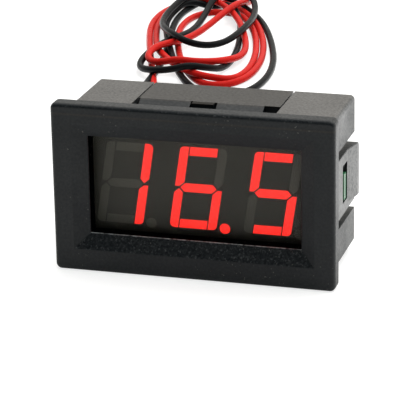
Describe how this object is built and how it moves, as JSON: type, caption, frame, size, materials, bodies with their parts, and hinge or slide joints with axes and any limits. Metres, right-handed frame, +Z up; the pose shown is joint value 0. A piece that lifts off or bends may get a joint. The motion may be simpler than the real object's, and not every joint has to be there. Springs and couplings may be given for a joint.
{
  "type": "digital panel voltmeter",
  "caption": "Snap-in panel voltmeter with a red LED digit display behind a smoked window, spring arms, open-backed circuit board and coiled leads.",
  "frame": {"origin": "under the middle of the meter at the foot of its bezel, the leads not counted", "axes": "+Z up, the display faces -Y, +X is to the right seen from the front"},
  "size_m": [0.0849, 0.1902, 0.029],
  "materials": {
    "black_abs": "fine spark-textured black ABS",
    "smoked_filter": "smoked clear plastic",
    "green_board": "green solder mask",
    "lit_segment": "lit red light pipe",
    "dark_segment": "unlit frosted light pipe",
    "display_shell": "grey-black face and sides",
    "display_resin": "clear-cream casting resin",
    "tinned_metal": "tin plated",
    "solder": "bright solder",
    "package_resin": "moulded black epoxy",
    "capacitor_resin": "orange moulded tantalum case",
    "resistor_glaze": "black glaze",
    "capacitor_ceramic": "tan ceramic",
    "trimmer_plastic": "white moulded base",
    "trimmer_brass": "plated brass rotor",
    "red_insulation": "red PVC insulation",
    "black_insulation": "black PVC insulation"
  },
  "bodies": {
    "meter": {"housing": "black_abs", "display_filter": "smoked_filter", "circuit_board": "green_board", "digit_1_lit": "lit_segment", "digit_1_dark": "dark_segment", "digit_2_lit": "lit_segment", "digit_2_dark": "dark_segment", "digit_3_lit": "lit_segment", "digit_3_dark": "dark_segment", "display_case": "display_shell", "display_potting": "display_resin", "display_pins": "tinned_metal", "pin_solder": "solder", "microcontroller": "package_resin", "voltage_regulator": "package_resin", "protection_diode": "package_resin", "input_capacitor": "capacitor_resin", "controller_legs": "tinned_metal", "power_tabs": "tinned_metal", "chip_resistors": "resistor_glaze", "ceramic_capacitors": "capacitor_ceramic", "chip_terminals": "solder", "trimmer_base": "trimmer_plastic", "red_lead_solder": "solder", "black_lead_solder": "solder", "lead_coil": "red_insulation", "red_lead": "red_insulation", "black_lead": "black_insulation", "red_lead_tip": "tinned_metal", "black_lead_tip": "tinned_metal"},
    "calibration_rotor": {"trimmer_rotor": "trimmer_brass"}
  },
  "joints": [
    {"name": "calibration_turn", "type": "hinge", "parent": "meter", "child": "calibration_rotor", "pos_m": [0.0146, 0.006, 0.0176], "axis": [0, 1, 0], "range_deg": [-105, 105]}
  ]
}
